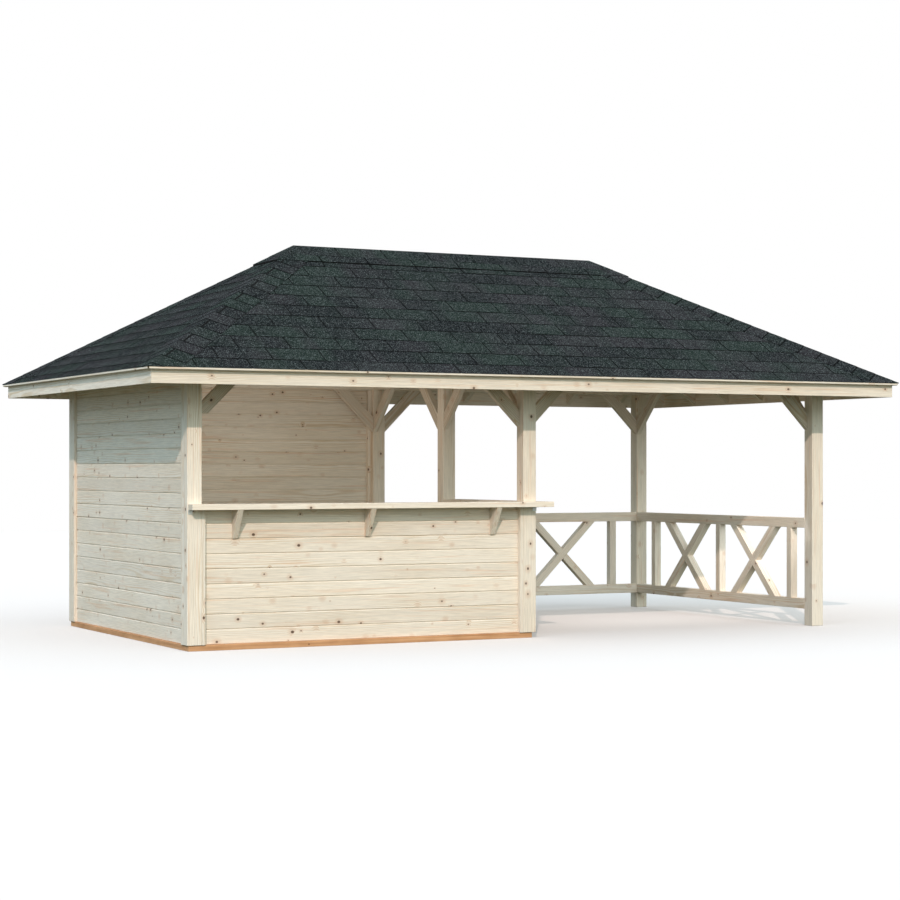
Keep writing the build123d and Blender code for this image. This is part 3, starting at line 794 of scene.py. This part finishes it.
# Tabs of one slope. A tab's surface is a function of u (along the eave) and v (up the slope):
# up = row start + v * row height; along = straight line between its two cuts, held inside the hips;
# plumb height over the boards = straight fall from the row's first to its second height,
# plus a small random curl that dies out up the slope.
# A row is (start, stop, overlap above, height at start, height at stop, shift of the cuts).
def shingleRows(slope, rows, tab, columns=5, steps=4, stretch=0.0, dark=(0.004, 0.0)):
    foot, half = eaveLine(slope, roof["shingleReach"], roof["boardThickness"], stretch)
    shorter = slope["cos"] / slope["step"] * slope["grow"]
    grids, strips, laps = [], [], []
    for start, stop, lap, high, low, shift in rows:
        widest = half - start * shorter
        first = math.floor((-widest - shift) / tab)
        cuts = shift + tab * np.arange(first, -first + 3)
        left = cuts[:-1] + shingle["cut"] / 2
        right = cuts[1:] - shingle["cut"] / 2
        keep = (right > -widest) & (left < widest)
        left, right = left[keep], right[keep]
        u = np.linspace(0, 1, columns)[None, :, None]
        v = np.linspace(0, 1, steps)[None, None, :]
        t = start + v * (stop + lap - start)
        curl = rng.uniform(0, 1, (len(left), 2)) * (shingle["curl"] if start else 0.0)
        h = high - (high - low) * (t - start) / (stop - start)
        h = h - (curl[:, :1, None] * (1 - u) + curl[:, 1:, None] * u) * (1 - v) ** 2
        along = left[:, None, None] + (right - left)[:, None, None] * u + 0 * v
        limit = half - t * shorter
        along = np.clip(along, -limit, limit)
        t = np.broadcast_to(t, along.shape)
        grids.append(onSlope(slope, foot, along, t, h))
        tag = rng.uniform(0, 60)
        strips.append(np.stack([along, np.full(along.shape, tag), t * 0.3], -1))
        laps.append(np.maximum((stop - t) / dark[0], dark[1]))
    return grids, strips, laps


# Closed slabs from grids of top points: the same grid sunk by the thickness makes the underside,
# side walls join the two. The underside takes the second material, and so do the walls: all of them,
# only the one at the butt, or with "whole" the top as well.
def slabMesh(name, layers, materials, slotName, *replaced):
    verts, faces, slots, strip, laps = [], [], [], [], []
    at = 0
    for grid, tag, lap, thickness, bare in layers:
        count, nu, nv = grid.shape[:3]
        index = np.arange(nu * nv).reshape(nu, nv)
        top = np.stack([index[:-1, :-1], index[1:, :-1], index[1:, 1:], index[:-1, 1:]], -1).reshape(-1, 4)
        rim = np.concatenate([index[:, 0], index[-1, 1:], index[-2::-1, -1], index[0, -2:0:-1]])
        nxt = np.roll(rim, -1)
        size = nu * nv
        under = top[:, ::-1] + size
        walls = np.stack([rim, rim + size, nxt + size, nxt], 1)
        one = np.concatenate([top, under, walls])
        kind = np.concatenate([np.full(len(top), bare == "whole"), np.ones(len(under)),
                               np.where(np.arange(len(walls)) < nu - 1, 1, bare != "butt")])
        sunk = grid - zAxis * plumb * thickness
        both = np.concatenate([grid.reshape(count, -1, 3), sunk.reshape(count, -1, 3)], axis=1)
        tags = np.concatenate([tag.reshape(count, -1, 3)] * 2, axis=1)
        shift = at + np.arange(count) * 2 * size
        verts.append(both.reshape(-1, 3))
        strip.append(tags.reshape(-1, 3))
        laps.append(np.concatenate([lap.reshape(count, -1)] * 2, axis=1).ravel())
        faces.append((one[None] + shift[:, None, None]).reshape(-1, 4))
        slots.append(np.tile(kind, count))
        at += count * 2 * size
    mesh = bpy.data.meshes.new(name)
    mesh.from_pydata(np.concatenate(verts).tolist(), [], np.concatenate(faces).tolist())
    for m in materials:
        mesh.materials.append(m)
    mesh.polygons.foreach_set("material_index", np.concatenate(slots).astype(int).tolist())
    giveAttribute(mesh, "strip", np.concatenate(strip))
    giveAttribute(mesh, "lap", np.concatenate(laps))
    cleanMesh(mesh)
    return finishPiece(name, mesh, slotName, *replaced)


# Points that fell together on a hip are merged, faces without area removed, faces turned outwards
def cleanMesh(mesh):
    bm = bmesh.new()
    bm.from_mesh(mesh)
    bmesh.ops.remove_doubles(bm, verts=bm.verts, dist=2e-5)
    bmesh.ops.dissolve_degenerate(bm, edges=bm.edges, dist=2e-5)
    bmesh.ops.delete(bm, geom=[v for v in bm.verts if not v.link_faces], context="VERTS")
    bmesh.ops.recalc_face_normals(bm, faces=bm.faces)
    bm.to_mesh(mesh)
    bm.free()


# Felt under the tabs, seen in the cuts: one sheet per slope, flat but for the eave, where it lies
# on the tilting strip
def feltSheet(slope):
    felt = shingle["felt"]
    foot, half = eaveLine(slope, roof["shingleReach"], roof["boardThickness"])
    u = np.linspace(-1, 1, 3)[None, :, None]
    ridge = slopeLength(slope, roof["shingleReach"])
    t = np.array([felt["start"], edge["tiltDepth"] + felt["start"], ridge])[None, None, :]
    high = np.array([edge["tilt"] + felt["thickness"], felt["height"], felt["height"]])[None, None, :]
    along = u * (half - t * slope["cos"] / slope["step"] * slope["grow"])
    t, high = np.broadcast_to(t, along.shape), np.broadcast_to(high, along.shape)
    strip = np.stack([along, t, 0 * t], -1)
    return onSlope(slope, foot, along, t, high), strip, 9 + 0 * t, felt["thickness"], "whole"      # 9: no shade on it


for side, slope in slopes.items():
    isEnd = side in ("left", "right")
    length = slopeLength(slope, roof["shingleReach"])
    starts = np.concatenate([[0.0], shingle["firstRow"][isEnd] + shingle["row"][isEnd] * np.arange(30)])
    starts = starts[starts < length - shingle["narrowest"]]
    stops = np.append(starts[1:], length)
    laps = np.append(np.full(len(starts) - 1, shingle["lap"]), 0.0)
    shift = shingle["shift"][isEnd]
    rows = []
    for k, (start, stop, lap) in enumerate(zip(starts, stops, laps)):
        top = shingle["top"] if k else shingle["first"]["top"]
        rows.append((start, stop, lap, top, shingle["low"], shift + (k % 2) * shingle["tab"] / 2))
    layers = []
    for k, course in enumerate(zip(*shingleRows(slope, rows, shingle["tab"], dark=shingle["dark"][isEnd]))):
        layers.append((*course, shingle["thickness"] if k else shingle["first"]["thickness"], "all"))
    layers.append(feltSheet(slope))
    slabMesh("shingles_laid_" + side, layers, (slateFelt, bareBitumen), shingleSlot, "shingles_" + side)

# Pieces folded over the hips, butts square to the hip line; every second one has a slit beside the fold, drawn as a
# thin black strip sunk into the piece: painted shade in the slit
hip = {
    "row": 0.1735, "half": 0.205, "lap": 0.010, "thickness": 0.005,
    "top": 0.0130, "low": 0.0112, "side": 0.0004,      # heights over the boards, and how much the sides fall
    "slit": 0.036, "slitWidth": 0.017, "slitDepth": 0.0015, "slitShadeSheet": 0.0008,
    "dark": (0.014, 0.015),                            # reach of the shade, the second on the front right hip
    "first": {(-1, -1): 0.0765, (1, -1): 0.056, (1, 1): 0.0765, (-1, 1): 0.056},   # first row at each corner
    "capReach": 0.294, "underCap": 0.180,              # the last pieces start up to this far under the ridge cap
}


# Wings of the hip pieces at one corner. On each side of the fold a point lies a along the hip and
# w square to it; w runs to the piece's half width but not past the eave;
# plumb height falls along the hip as on a tab and a little towards the wing's side
def hipLayers(sx, sy):
    climb = np.array([-sx * endRun, -sy, tanP])
    norm = np.linalg.norm(climb)
    alongHip = climb / norm
    reach = roof["shingleReach"]
    corner = np.array([sx * (eaveX + reach * endRun), sy * (eaveY + reach),
                       eaveZ - reach * tanP + roof["boardThickness"] * plumb])
    total = (eaveY + reach - hip["capReach"]) * norm + hip["underCap"]
    starts = np.concatenate([[0.0], hip["first"][(sx, sy)] + hip["row"] * np.arange(40)])
    starts = starts[starts < total]
    layers = []
    for k, start in enumerate(starts):
        stop = starts[k + 1] if k + 1 < len(starts) else start + hip["row"]
        tag = rng.uniform(0, 60)
        for side, other, right in (("front" if sy < 0 else "back", -sx * xAxis, sx * sy > 0),
                                   ("left" if sx < 0 else "right", -sy * yAxis, sx * sy < 0)):
            slope = slopes[side]
            down = np.cross(alongHip, slope["normal"])
            down = down * np.sign(down @ other)
            open_ = -(alongHip @ slope["out"]) / (down @ slope["out"])      # widest w per a before the eave
            a = np.linspace(start, stop + hip["lap"], 4)
            crossing = hip["half"] / open_
            if a[0] < crossing < a[-1]:
                a[1 if crossing < a.mean() else 2] = crossing
            h = hip["top"] - (hip["top"] - hip["low"]) * (a - start) / (stop - start)
            wide = np.minimum(hip["half"], a * open_)
            whole = (0.0, hip["thickness"], "butt")       # how much lower, thickness, bare faces
            spans = [(0.0, 1.0, *whole)]
            if right and k % 2 == 0 and start > crossing:
                # the slit holds a thin bare bitumen strip, a dark sheet that paints the slit's shade
                near, far = (hip["slit"] + np.array([-0.5, 0.5]) * hip["slitWidth"]) / hip["half"]
                spans = [(0.0, near, *whole), (far, 1.0, *whole),
                         (near, far, hip["slitDepth"], hip["slitShadeSheet"], "whole")]
            for u0, u1, lower, thickness, bare in spans:
                u = np.linspace(u0, u1, 4)[:, None]
                w = u * wide[None, :]
                height = h[None, :] - hip["side"] * u ** 2 - lower
                points = corner + a[None, :, None] * alongHip + w[..., None] * down
                points = points + height[..., None] * plumb * zAxis
                strip = np.stack([w * (1 if right else -1), np.full(w.shape, tag), 0 * w + a * 0.3], -1)
                below = (stop - a) / hip["dark"][sx * sy < 0 if side == "front" else 0]
                layers.append((points[None], strip[None], (below[None, :] + 0 * w)[None], thickness, bare))
    return layers


layers = sum((hipLayers(sx, sy) for sx in (-1, 1) for sy in (-1, 1)), [])
slabMesh("shingles_hips", layers, (slateFelt, bareBitumen), shingleSlot)

# Ridge cap: two courses on a raised dark layer, folded over the ridge and mitred over its ends. The layer's black
# edge is bare bitumen, as cut edges are, but it is drawn deep enough to stand for the shadow under the cap: partly
# painted shade.
cap = {
    "down": 0.312, "second": 0.190,                    # the two courses' lower edges below the ridge
    "lower": 0.0172, "upper": 0.0182, "fall": 0.0014,  # their heights over the boards
    # "dark": reach of the painted shade at each course's upper end, and its limit
    "stretch": 0.022, "dark": (0.009, 0.0),
    # the lower course's thickness: its black edge paints the shadow under the cap, deeper on the end slopes
    "edge": {"front": 0.0095, "back": 0.0095, "left": 0.0185, "right": 0.0185},    # the raised layer
    "thin": 0.003,
}
layers = []
for side, slope in slopes.items():
    length = slopeLength(slope, roof["shingleReach"])
    scale = length / slopeLength(slopes["front"], roof["shingleReach"])
    lower, upper = length - cap["down"] * scale, length - cap["second"] * scale
    shift = shingle["shift"][0]
    rows = [(lower, upper, 0.02, cap["lower"], cap["lower"] - cap["fall"], shift),
            (upper, length, 0.0, cap["upper"], cap["upper"] - cap["fall"], shift + shingle["tab"] / 2)]
    courses = zip(*shingleRows(slope, rows, shingle["tab"], stretch=cap["stretch"], dark=cap["dark"]))
    layers += [(*course, high, "all") for course, high in zip(courses, (cap["edge"][side], cap["thin"]))]
slabMesh("shingles_ridge", layers, (slateFelt, bareBitumen), shingleSlot, "ridge_cap")
print("shingles laid")

# The floor looks white to the camera and gives back less light than it seems to, so the soffit stays dim
stage = {
    "size": 60.0, "seen": "#D3CCCA", "given": "#50503E", "lift": 0.20,
    "skyColour": "#F3FFF7", "skyStrength": 0.55,
    "lamps": {                                         # where from, softness in degrees, strength, colour
        "sun": ((-0.78, -1.36, 1.0), 0.8, 1.9, "#FFEBDF"),
        "skyAbove": ((-0.2, -0.3, 1.0), 120.0, 1.74, "#D7EBFF"),
        "skyLeft": ((-1.0, -0.1, 0.6), 70.0, 0.54, "#6CCCFF"),
        "skyFront": ((0.1, -1.0, 0.4), 60.0, 0.54, "#EEFFEC"),
    },
    "panels": {                                        # size, place, tilt, turn, spread, strength, colour
        "roomFill": ((2.6, 0.8), (-1.65, -1.28, 1.58), 0.0, 0.0, 110.0, 8.0, "#FFFEF7"),
        "bayFill": ((2.6, 1.0), (2.15, -1.36, 1.25), 23.0, 0.0, 90.0, 10.4, "#F4F8FA"),
        "sideFill": ((2.4, 0.9), (-2.70, 0.0, 1.60), 0.0, -90.0, 80.0, 4.0, "#FFF2E2"),
    },
}
bpy.ops.mesh.primitive_plane_add(size=stage["size"])
floor = bpy.context.object
floor.name = "floor"
paleFloor = bpy.data.materials.new("paleFloor")
t = emptyTree(paleFloor)
toCamera = addNode(t, "LightPath", {}, {})["Is Camera Ray"]
plain = addNode(t, "BsdfDiffuse", {}, {"Color": srgb(stage["seen"])})[0]
glow = addNode(t, "Emission", {}, {"Color": (1, 1, 1, 1), "Strength": stage["lift"]})[0]
bright = addNode(t, "AddShader", {}, {0: plain, 1: glow})[0]
dim = addNode(t, "BsdfDiffuse", {}, {"Color": srgb(stage["given"])})[0]
mixed = addNode(t, "MixShader", {}, {0: toCamera, 1: dim, 2: bright})[0]
addNode(t, "OutputMaterial", {}, {"Surface": mixed})
floor.data.materials.append(paleFloor)

# The world is plain white to the camera, in gloss and through glass, and a soft sky to everything else
world = bpy.data.worlds.new("studioSky")
bpy.context.scene.world = world
t = emptyTree(world)
rays = addNode(t, "LightPath", {}, {})
mirror = addNode(t, "Math", largest, {0: rays["Is Glossy Ray"], 1: rays["Is Transmission Ray"]})[0]
direct = addNode(t, "Math", largest, {0: rays["Is Camera Ray"], 1: mirror})[0]
sky = addNode(t, "Background", {}, {"Color": srgb(stage["skyColour"]), "Strength": stage["skyStrength"]})[0]
white = addNode(t, "Background", {}, {"Color": (1, 1, 1, 1), "Strength": 1.0})[0]
mixed = addNode(t, "MixShader", {}, {0: direct, 1: sky, 2: white})[0]
addNode(t, "OutputWorld", {}, {"Surface": mixed})


# A lamp of one kind with its strength and colour, at the origin
def addLamp(name, kind, strength, colour):
    data = bpy.data.lights.new(name, kind)
    data.energy = strength
    data.color = srgb(colour)[:3]
    lamp = bpy.data.objects.new(name, data)
    bpy.context.scene.collection.objects.link(lamp)
    return lamp


for name, (whence, softness, strength, colour) in stage["lamps"].items():
    lamp = addLamp(name, "SUN", strength, colour)
    lamp.data.angle = math.radians(softness)
    lamp.rotation_euler = Vector(whence).to_track_quat("Z", "Y").to_euler()

# Soft panels under the front beam light the back of the room and of the bay
for name, (size, place, tilt, turn, spread, strength, colour) in stage["panels"].items():
    panel = addLamp(name, "AREA", strength, colour)
    panel.data.shape = "RECTANGLE"
    panel.data.size, panel.data.size_y = size
    panel.data.spread = math.radians(spread)
    panel.location = place
    panel.rotation_euler = (math.radians(90 - tilt), 0, math.radians(turn))      # its own -Z turned to +Y
    panel.visible_camera = False
    panel.visible_glossy = False

view = {"place": (-8.696, -17.530, 1.417), "turn": 0.4846, "lens": 86.6, "shift": (-0.0539, 0.0210)}
cameraData = bpy.data.cameras.new("camera")
cameraData.lens = view["lens"]
cameraData.sensor_width = 36.0
cameraData.shift_x, cameraData.shift_y = view["shift"]
cameraData.clip_end = 200.0
camera = bpy.data.objects.new("camera", cameraData)
camera.location = view["place"]
camera.rotation_euler = (math.pi / 2, 0, -view["turn"])
bpy.context.scene.collection.objects.link(camera)
bpy.context.scene.camera = camera
bpy.context.scene.view_settings.view_transform = "Standard"
print("stage, light and camera set")
